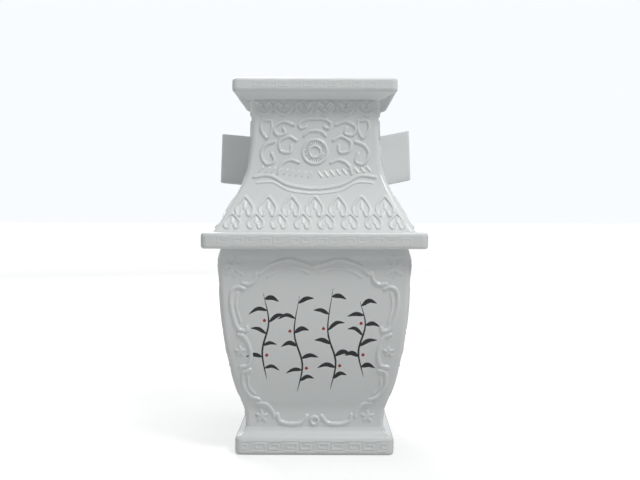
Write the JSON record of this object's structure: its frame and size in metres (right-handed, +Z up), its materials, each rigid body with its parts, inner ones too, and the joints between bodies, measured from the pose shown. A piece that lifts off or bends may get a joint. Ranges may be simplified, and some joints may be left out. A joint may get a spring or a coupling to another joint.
{
  "type": "square porcelain vase",
  "caption": "Square glazed porcelain vase with a waisted neck, stepped shoulder ledge, open mouth with a flat rim, foot ring and pierced tubular side lugs.",
  "frame": {"origin": "middle of the underside of the foot ring", "axes": "+Z up through the mouth, front panel towards -Y, right lug towards +X"},
  "size_m": [0.1666, 0.1666, 0.285],
  "materials": {
    "white_glaze": "glossy white glaze with a faint blue-grey cast",
    "inner_glaze": "glossy white glaze, thinner inside"
  },
  "bodies": {
    "root": {"foot_ring": "white_glaze", "base_slab": "inner_glaze", "shoulder_ledge": "white_glaze", "mouth_rim": "white_glaze", "lug_left": "white_glaze", "lug_right": "white_glaze", "body_wall_front": "white_glaze", "body_wall_back": "white_glaze", "body_wall_left": "white_glaze", "body_wall_right": "white_glaze", "neck_wall_front": "white_glaze", "neck_wall_back": "white_glaze", "neck_wall_left": "white_glaze", "neck_wall_right": "white_glaze"}
  },
  "joints": []
}
